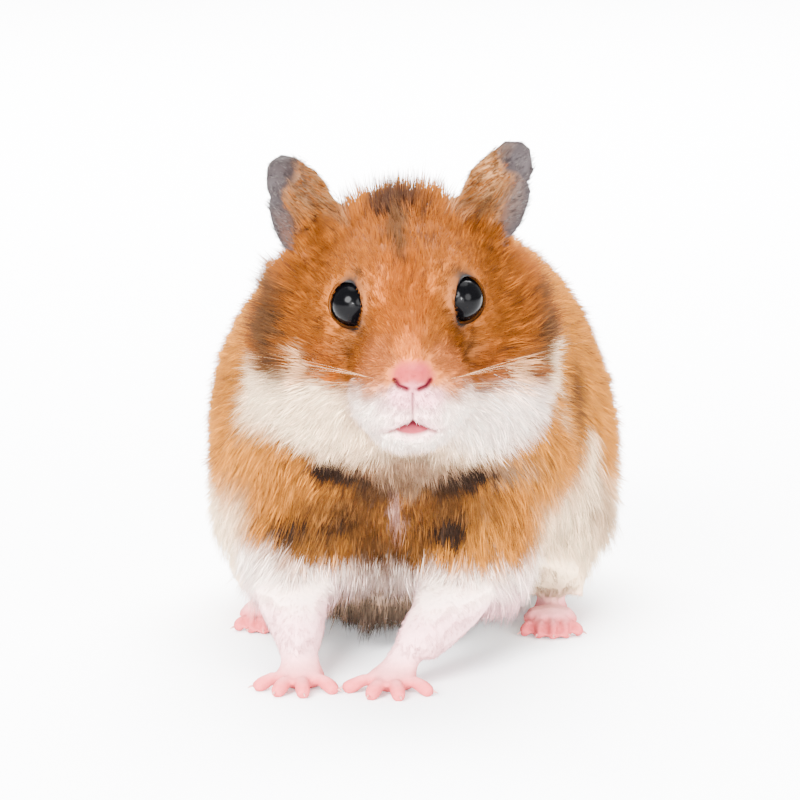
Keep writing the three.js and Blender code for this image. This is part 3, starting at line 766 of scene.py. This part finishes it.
# ---- The coat ----
def lie_of_coat(p, n):
    """The way the hairs point: back from the nose, back along the body, down the chest and legs."""
    from_nose = unit(p - (NOSE + vec(0, 3, 0)))
    head = unit(from_nose + vec(0, 0.35, 0))
    below = 1 - ramp(p[:, 2], 36, 46)
    head = unit(head + vec(0, 0, -0.5) * below[:, None])
    side = np.sign(p[:, 0]) * ramp(np.abs(p[:, 0]), 4, 16)
    body = np.stack([0.12 * side, np.full(len(p), 1.0), -0.45 * np.ones(len(p))], axis=1)
    chest = ramp(-n[:, 1], 0.1, 0.6)[:, None]
    body = body * (1 - chest) + np.stack([0.3 * side, 0 * side, -np.ones(len(p))], axis=1) * chest
    rump = ramp(n[:, 1], 0.4, 0.85)[:, None]
    body = body * (1 - rump) + vec(0, 0.25, -1.0) * rump
    low = (1 - ramp(p[:, 2], 10, 22))[:, None]
    body = body * (1 - 0.6 * low) + vec(0, 0.15, -1.0) * 0.6 * low
    share = head_part(p)[:, None]
    way = head * share + unit(body) * (1 - share)
    ears = whole_ear(p)[:, None]
    outward = np.stack([np.sign(p[:, 0] + 2) * 0.8, 0 * side, np.full(len(p), 0.6)], axis=1)
    way = way * (1 - ears) + outward * ears
    turn = 0.24 * wander(p, 9.0, 5.0)
    way = way + np.cross(way, n) * turn[:, None]
    return unit(way - n * np.sum(way * n, axis=1, keepdims=True))


def tuft_density(p):
    """Tufts to each square millimetre, before they are scaled to the number wanted."""
    density = 1.0 + 5.0 * np.exp(-coat_depth(p) / 0.8)
    density = density * (1 - 0.93 * bare_part(p)) * (1 - 0.4 * ear_part(p))
    density = density * (1 - 0.2 * leg_part(p)) * (1 - 0.25 * ramp(p[:, 1], -10, 20))
    lids = 1 - ramp(lid_distance(p), 0.5, 0.7)
    sole = 1 - ramp(p[:, 2], 0.8, 1.6)
    bald = nose_part(p) + lids + 1.5 * mouth_part(p) + nostril_part(p) + philtrum_part(p) + sole
    return density * np.clip(1 - bald, 0, 1)


def skin_samples(skin, count):
    """Root places spread over the skin, with their normals and their places on its unwrap."""
    mesh = skin.data
    mesh.calc_loop_triangles()
    corners = np.zeros(len(mesh.loop_triangles) * 3, np.int32)
    mesh.loop_triangles.foreach_get("vertices", corners)
    loops = np.zeros(len(mesh.loop_triangles) * 3, np.int32)
    mesh.loop_triangles.foreach_get("loops", loops)
    uv = np.zeros(len(mesh.loops) * 2, np.float32)
    mesh.uv_layers["OFBake"].data.foreach_get("uv", uv)
    points, normals = read_points(skin), read_normals(skin)
    corners = corners.reshape(-1, 3)
    triangles = points[corners]
    sides = triangles[:, 1:] - triangles[:, :1]
    area = np.linalg.norm(np.cross(sides[:, 0], sides[:, 1]), axis=1) / 2
    weight = np.cumsum(area * tuft_density(triangles.mean(axis=1)))
    steps = (np.arange(count) + dice.random(count)) / count * weight[-1]
    chosen = np.minimum(np.searchsorted(weight, steps), len(area) - 1)
    a, b = dice.random(count), dice.random(count)
    over = a + b > 1
    a[over], b[over] = 1 - a[over], 1 - b[over]
    share = np.stack([1 - a - b, a, b], axis=1)[:, :, None]
    place = (points[corners[chosen]] * share).sum(axis=1)
    normal = unit((normals[corners[chosen]] * share).sum(axis=1))
    map_place = (uv.reshape(-1, 2)[loops.reshape(-1, 3)[chosen]] * share).sum(axis=1)
    return place, normal, map_place


def blade_mesh(name, rings, half_widths, across, up, tip, colours, map_place):
    """Closed three-sided blades. rings are the middles of their cross-sections, and each ends in its tip."""
    count, levels = rings.shape[0], rings.shape[1]
    corner_side, corner_up = vec(-1, 1, 0), vec(0, 0, 0.7)
    sideways = across[:, None, None, :] * (half_widths[:, :, None] * corner_side)[..., None]
    upward = up[:, None, None, :] * (half_widths[:, :, None] * corner_up)[..., None]
    body = (rings[:, :, None, :] + sideways + upward).reshape(count, -1, 3)
    points = np.concatenate([body, tip[:, None, :]], axis=1)
    per_blade = levels * 3 + 1
    faces = [(2, 1, 0)]
    for level in range(levels - 1):
        for i in range(3):
            a, b = level * 3 + i, level * 3 + (i + 1) % 3
            faces += [(a, b, b + 3), (a, b + 3, a + 3)]
    top = (levels - 1) * 3
    faces += [(top + i, top + (i + 1) % 3, per_blade - 1) for i in range(3)]
    faces = (np.array(faces)[None] + (np.arange(count) * per_blade)[:, None, None]).reshape(-1, 3)
    mesh = bpy.data.meshes.new(name)
    mesh.vertices.add(count * per_blade)
    mesh.vertices.foreach_set("co", (points * MM).astype(np.float32).ravel())
    mesh.loops.add(len(faces) * 3)
    mesh.loops.foreach_set("vertex_index", faces.astype(np.int32).ravel())
    mesh.polygons.add(len(faces))
    mesh.polygons.foreach_set("loop_start", np.arange(0, len(faces) * 3, 3, dtype=np.int32))
    mesh.update(calc_edges=True)
    paint(mesh, colours.reshape(-1, 3))
    patch = np.zeros((count, per_blade, 2))
    for level in range(levels):
        v = UV_PATCH * level / levels
        patch[:, level * 3:level * 3 + 3] = [[-UV_PATCH / 2, v], [UV_PATCH / 2, v], [0, v - UV_PATCH * 0.15]]
    patch[:, -1] = [0, UV_PATCH * 0.85]
    patch = np.clip(patch + map_place[:, None, :], 0.0005, 0.9995).reshape(-1, 2)
    layer = mesh.uv_layers.new(name="OFBake")
    layer.data.foreach_set("uv", patch[faces.ravel()].astype(np.float32).ravel())
    piece = bpy.data.objects.new(name, mesh)
    bpy.context.scene.collection.objects.link(piece)
    mesh.polygons.foreach_set("use_smooth", np.ones(len(faces), bool))
    return piece


def paint(mesh, colours):
    layer = mesh.attributes.new("coat_colour", "FLOAT_COLOR", "POINT")
    rgba = np.ones((len(colours), 4), np.float32)
    rgba[:, :3] = np.clip(colours, 0, 1)
    layer.data.foreach_set("color", rgba.ravel())


def coat_blades(place, normal, map_place, in_tuft, levels, width_scale):
    """Turns tuft roots into blades: where each starts, bends and ends, how wide it is and its colours."""
    tufts = len(place)
    depth = coat_depth(place)
    bare = bare_part(place)
    ears = whole_ear(place)
    dark_ear = ear_part(place)
    crown = blob(place, (-1.5, -27, 67), (15, 10, 6), 0.4)
    spiky = crown * (dice.random(tufts) < SPIKY_SHARE)
    ruff = blob(place, (-20, -26, 51), (5, 8, 9), 0.4) + blob(place, (18.5, -24, 52), (5, 8, 9), 0.4)
    ear_foot = ears * (1 - dark_ear) * (1 - ramp(place[:, 2], EAR_FOOT + 4, EAR_FOOT + 8.5))
    length = 0.5 + 1.9 * depth + 0.2 * ears + 1.0 * ear_foot + 1.6 * ruff * dice.random(tufts)
    length = length * (1 + 0.16 * wander(place, 6.0, 7.0)) * dice.uniform(0.82, 1.15, tufts)
    length = length * (1 + 0.5 * spiky)
    way = lie_of_coat(place, normal)
    across = np.cross(way, normal)
    cheek = head_part(place) * ramp(np.abs(place[:, 0] - HEAD_MIDDLE[0]), 14, 21)
    lift = HAIR_LIFT + 0.12 * crown + 0.35 * spiky + 0.14 * cheek + 0.2 * ruff + dice.normal(0, 0.05, tufts)
    lift = np.clip(lift * (1 - 0.6 * leg_part(place)) * (1 - 0.4 * ears), 0, 0.8)
    way = unit(way + across * dice.normal(0, 0.11, tufts)[:, None])
    reach = way * np.sqrt(1 - lift**2)[:, None] + normal * lift[:, None]
    seen = place + way * (0.55 * length)[:, None]
    colour = np.where(bare[:, None] > 0.5, skin_colour(place) * 1.2, coat_colour(seen))
    ear_hair = np.where(dice.random(tufts)[:, None] < 0.55, vec(*EAR_HAIR), vec(*EAR_GREY))
    # Painted shade on the hairs in the ear's dish, hollow and crease.
    shade = ear_shade(place)
    ear_hair = mixed(ear_hair, vec(*EAR_SHADE) * 1.6, 0.85 * shade)
    colour = mixed(colour, ear_hair, np.maximum(dark_ear, 0.8 * shade))
    streak = np.where(dice.random(tufts)[:, None] < 0.5, vec(*BROWN), vec(*HEAD_GOLD) * 1.3)
    streaked = (ears > 0.5) & (dark_ear < 0.5) & (dice.random(tufts) < 0.45)
    colour = np.where(streaked[:, None], streak, colour)
    colour = colour * (1 + dice.normal(0, 0.12, tufts) * (1 - 0.7 * leg_part(place)))[:, None]
    golden = (colour[:, 0] > 2.2 * colour[:, 1]) & (bare < 0.5)
    ticked = golden & (muzzle_part(place) < 0.3) & (dice.random(tufts) < TICKED_SHARE)

    own = np.repeat(np.arange(tufts), in_tuft)
    count = len(own)
    spread = (0.20 + 0.05 * length)[own]
    shift = across[own] * (dice.normal(0, 1, count) * spread)[:, None]
    shift = shift + way[own] * (dice.normal(0, 1, count) * spread)[:, None]
    root = place[own] + shift - normal[own] * ROOT_SINK
    loose = dice.normal(0, 1, (count, 3)) * (0.06 * length[own])[:, None]
    span = (length[own] * dice.uniform(0.7, 1.12, count))[:, None]
    tip = root + reach[own] * span - 0.4 * shift + loose
    tip[:, 2] = np.maximum(tip[:, 2], LOWEST_TIP)
    bend = root + (tip - root) * 0.5 + normal[own] * (0.08 * length[own])[:, None]
    width = width_scale * (HAIR_HALF_WIDTH + 0.0045 * length) * (1 - 0.35 * ears)
    width = width[own] * dice.uniform(0.8, 1.25, count)
    rings = np.stack([root, bend][:levels], axis=1)
    half_widths = np.stack([width, width * 0.8][:levels], axis=1)
    hair = unit(tip - root)
    side = unit(np.cross(hair, normal[own]))
    rise = unit(np.cross(side, hair))
    # Each blade is darker at its foot and a little lighter at its end: partly the grey underfur at the roots
    # and partly painted shade deep in the coat.
    base = colour[own] * dice.normal(1, 0.06, count)[:, None]
    end = np.where(ticked[own][:, None], vec(*DARK_BROWN) * 1.4, base * 1.12)
    smooth = np.maximum(bare, leg_part(place))[own][:, None]
    foot = base * (0.52 + 0.42 * smooth)
    shades = [np.repeat(c[:, None], 3, 1) for c in (foot, base)[:levels]]
    colours = np.concatenate([*shades, end[:, None]], axis=1)
    return rings, half_widths, side, rise, tip, colours, map_place[own]


def make_coat(skin, name, pieces, blades, in_tuft, levels, width_scale):
    """Spreads the tufts of each piece over the whole animal, so that their patches stay apart."""
    tufts = blades // in_tuft
    made = []
    for number in range(pieces):
        parts = coat_blades(*skin_samples(skin, tufts), in_tuft, levels, width_scale)
        made.append(blade_mesh("%s_%d" % (name, number + 1), *parts))
    return made


# ---- Eyes, claws and whiskers ----
def make_eye(side):
    """A ball with a low bulge where it looks out."""
    eye = ball(64, 40, EYE_RADIUS)
    eye.name = "eyeball_" + side
    p = read_points(eye)
    out = eye_axis(side)
    facing = unit(p) @ out
    p = p + out * (0.12 * ramp(facing, 0.55, 1.0))[:, None]
    write_points(eye, p + EYES[side])
    bpy.ops.object.shade_smooth()
    return eye


def make_claws():
    """A small hooked cone on each toe, pointing away from the palm."""
    claws = []
    for paw in PAW_NAMES:
        low, high = box_mm(paw)
        palm = vec((low[0] + high[0]) / 2, low[1] + 6.4, 0)
        for toe in toe_tips(paw):
            way = unit(vec(toe[0] - palm[0], toe[1] - palm[1], 0))
            bpy.ops.object.select_all(action="DESELECT")
            bpy.ops.mesh.primitive_cone_add(
                vertices=10,
                radius1=CLAW_ROOT_RADIUS * MM,
                radius2=CLAW_TIP_RADIUS * MM,
                depth=CLAW_LENGTH * MM,
            )
            claw = bpy.context.object
            finish_with(claw, "SUBSURF", levels=1, render_levels=1)
            p = read_points(claw)
            reach, thick, wide = p[:, 2] + CLAW_LENGTH / 2, p[:, 0], p[:, 1]
            side = vec(-way[1], way[0], 0)
            start = toe + way * 0.75 + vec(0, 0, 0.85)
            drop = -0.30 * reach**2
            p = start + way * reach[:, None] + side * wide[:, None] + vec(0, 0, 1) * (thick + drop)[:, None]
            write_points(claw, p)
            claws.append(claw)
    claws = joined(claws, "claws")
    bpy.ops.object.mode_set(mode="EDIT")
    bpy.ops.mesh.select_all(action="SELECT")
    bpy.ops.mesh.normals_make_consistent(inside=False)
    bpy.ops.object.mode_set(mode="OBJECT")
    bpy.ops.object.shade_smooth()
    return claws


def make_whiskers():
    """Long fine hairs in rows on each side of the muzzle."""
    roots, ways, lengths = [], [], []
    for side in (-1, 1):
        for row in range(WHISKER_ROWS):
            for place in range(WHISKERS_IN_ROW):
                roots.append(NOSE + vec(side * (3.2 + 0.9 * place), 1.9 + 1.1 * place, -1.0 - 1.15 * row))
                ways.append(vec(side * 1.0, 0.10 + 0.12 * place, 0.22 - 0.20 * row))
                lengths.append(10 + 2.6 * place - 0.7 * row)
    roots, ways = np.array(roots), unit(np.array(ways) + dice.normal(0, 0.07, (len(ways), 3)))
    lengths = np.array(lengths) * dice.uniform(0.85, 1.1, len(lengths))
    levels = np.linspace(0, 0.9, 7)
    droop = vec(0, 0.35, -0.16)
    rings = np.stack([roots + (ways * t + droop * t * t * 0.5) * lengths[:, None] for t in levels], axis=1)
    tip = roots + (ways + droop * 0.5) * lengths[:, None]
    half_widths = np.tile(WHISKER_HALF_WIDTH * (1 - 0.85 * levels), (len(roots), 1))
    side_way = unit(np.cross(ways, vec(0, 0, 1)))
    rise = unit(np.cross(side_way, ways))
    colours = np.tile(vec(*PALE_BUFF), (len(roots), len(levels) * 3 + 1, 1))
    grid = np.stack([np.linspace(0.05, 0.95, len(roots)), np.full(len(roots), 0.5)], axis=1)
    return blade_mesh("whiskers", rings, half_widths, side_way, rise, tip, colours, grid)


# ---- Finishes ----
def socket(group, name, kind, out=False, value=None):
    made = group.interface.new_socket(name=name, in_out="OUTPUT" if out else "INPUT", socket_type=kind)
    if value is not None:
        made.default_value = value
    return made


def speckle_group():
    """A node group that varies a colour a little from place to place and gives a fine height for bump."""
    group = bpy.data.node_groups.new("speckle", "ShaderNodeTree")
    socket(group, "Colour", "NodeSocketColor")
    socket(group, "Amount", "NodeSocketFloat", value=0.15)
    socket(group, "Scale", "NodeSocketFloat", value=600.0)
    socket(group, "Colour", "NodeSocketColor", out=True)
    socket(group, "Height", "NodeSocketFloat", out=True)
    nodes, links = group.nodes, group.links
    given, result = nodes.new("NodeGroupInput"), nodes.new("NodeGroupOutput")
    place = nodes.new("ShaderNodeTexCoord")
    noise = nodes.new("ShaderNodeTexNoise")
    noise.inputs["Detail"].default_value = 4
    spread = nodes.new("ShaderNodeMapRange")
    for name, value in (("From Min", 0.3), ("From Max", 0.7), ("To Min", 0.6), ("To Max", 1.3)):
        spread.inputs[name].default_value = value
    mix = nodes.new("ShaderNodeMix")
    mix.data_type = "RGBA"
    mix.blend_type = "MULTIPLY"
    links.new(place.outputs["Object"], noise.inputs["Vector"])
    links.new(given.outputs["Scale"], noise.inputs["Scale"])
    links.new(noise.outputs["Fac"], spread.inputs["Value"])
    links.new(given.outputs["Amount"], mix.inputs["Factor"])
    links.new(given.outputs["Colour"], mix.inputs["A"])
    links.new(spread.outputs["Result"], mix.inputs["B"])
    links.new(mix.outputs["Result"], result.inputs["Colour"])
    links.new(noise.outputs["Fac"], result.inputs["Height"])
    return group


def finish(name, speckle, amount, scale, roughness, colour=None, bump=0.0, **constants):
    """A material on the coat_colour attribute, or on one colour, with the shared speckle."""
    material = bpy.data.materials.new(name)
    material.use_nodes = True
    nodes, links = material.node_tree.nodes, material.node_tree.links
    shader = nodes["Principled BSDF"]
    shader.inputs["Roughness"].default_value = roughness
    for key, value in constants.items():
        shader.inputs[key.replace("_", " ")].default_value = value
    vary = nodes.new("ShaderNodeGroup")
    vary.node_tree = speckle
    vary.inputs["Amount"].default_value = amount
    vary.inputs["Scale"].default_value = scale
    if colour is None:
        painted = nodes.new("ShaderNodeAttribute")
        painted.attribute_name = "coat_colour"
        links.new(painted.outputs["Color"], vary.inputs["Colour"])
    else:
        vary.inputs["Colour"].default_value = (*colour, 1)
    links.new(vary.outputs["Colour"], shader.inputs["Base Color"])
    if bump:
        height = nodes.new("ShaderNodeBump")
        height.inputs["Strength"].default_value = bump
        height.inputs["Distance"].default_value = BUMP_DEPTH * MM
        links.new(vary.outputs["Height"], height.inputs["Height"])
        links.new(height.outputs["Normal"], shader.inputs["Normal"])
    return material


def dress(piece, material):
    piece.data.materials.clear()
    piece.data.materials.append(material)
    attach(piece, "root")


# ---- Stage ----
CAMERA_TARGET = vec(-2.09, -39.49, 39.8)
CAMERA_RISE = math.radians(10.5)
CAMERA_DISTANCE = 620.0
PICTURE_WIDTH = 108.11  # what the picture spans at the target
SENSOR = 36.0
ROOM_STRENGTH = 1.15
HEAD_AIM = (0, -20, 35)
LAMPS = [
    # name, place, size, power, what it faces
    ("key", (-300, -620, 430), 440, 41.0, HEAD_AIM),
    ("fill", (420, -600, 260), 420, 11.0, HEAD_AIM),
    ("low", (-40, -760, 90), 420, 12.0, HEAD_AIM),
    ("top", (40, 60, 700), 560, 9.0, HEAD_AIM),
    ("spark", (-2, -700, 185), 20, 6.0, HEAD_AIM),
    ("backdrop", (0, 640, 700), 1000, 104.0, (0, 640, 0)),
]


def add_camera():
    back = vec(0, -math.cos(CAMERA_RISE), math.sin(CAMERA_RISE))
    place = (CAMERA_TARGET + back * CAMERA_DISTANCE) * MM
    bpy.ops.object.camera_add(location=place, rotation=(math.pi / 2 - CAMERA_RISE, 0, 0))
    camera = bpy.context.object
    camera.data.sensor_width = SENSOR
    camera.data.lens = SENSOR * CAMERA_DISTANCE / PICTURE_WIDTH
    camera.data.clip_start = 0.01
    bpy.context.scene.camera = camera


def add_light(name, place, size, power, aim):
    """A soft round light that faces its aim."""
    bpy.ops.object.light_add(type="AREA", location=vec(*place) * MM)
    light = bpy.context.object
    light.name = name
    light.data.shape = "DISK"
    light.data.size = size * MM
    light.data.energy = power
    light.rotation_euler = Vector(vec(*aim) - vec(*place)).to_track_quat("-Z", "Y").to_euler()


def add_stage():
    bpy.ops.object.select_all(action="DESELECT")
    bpy.ops.mesh.primitive_plane_add(size=FLOOR_SIZE * MM)
    floor = bpy.context.object
    floor.name = "floor"
    paper = bpy.data.materials.new("floor_paper")
    paper.use_nodes = True
    shader = paper.node_tree.nodes["Principled BSDF"]
    shader.inputs["Base Color"].default_value = (*FLOOR_WHITE, 1)
    shader.inputs["Roughness"].default_value = 0.9
    floor.data.materials.append(paper)
    world = bpy.data.worlds.new("studio")
    world.use_nodes = True
    background = world.node_tree.nodes["Background"]
    background.inputs["Color"].default_value = (*ROOM_WHITE, 1)
    background.inputs["Strength"].default_value = ROOM_STRENGTH
    bpy.context.scene.world = world
    for lamp in LAMPS:
        add_light(*lamp)


# ---- Assembly ----
speckle = speckle_group()
skin = make_skin()
paint(skin.data, skin_colour(read_points(skin)))
coat = make_coat(skin, "fur_fine", FINE_PIECES, FINE_BLADES, FINE_IN_TUFT, levels=1, width_scale=1.0)
coat += make_coat(skin, "fur_long", LONG_PIECES, LONG_BLADES, LONG_IN_TUFT, levels=2, width_scale=1.1)
eyes = {side: make_eye(side) for side in EYES}
claws = make_claws()
whiskers = make_whiskers()

skin_finish = finish(
    "skin", speckle, amount=0.22, scale=1600, roughness=0.55, bump=0.5, Specular_IOR_Level=0.05
)
dress(skin, skin_finish)
fur_finish = finish("fur", speckle, amount=0.22, scale=420, roughness=0.85, Specular_IOR_Level=0.02)
for piece in coat:
    dress(piece, fur_finish)
for side, eye in eyes.items():
    eye_finish = finish(
        "eye_" + side, speckle, amount=0.3, scale=500, roughness=0.15, colour=EYE_BLACK, IOR=1.125
    )
    dress(eye, eye_finish)
    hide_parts("eye_" + side)
dress(claws, finish("claw", speckle, amount=0.2, scale=900, roughness=0.35, colour=CLAW_PINK))
dress(whiskers, finish("whisker", speckle, amount=0.1, scale=900, roughness=0.4))
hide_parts(*[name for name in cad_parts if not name.startswith("eye_")])

add_camera()
add_stage()
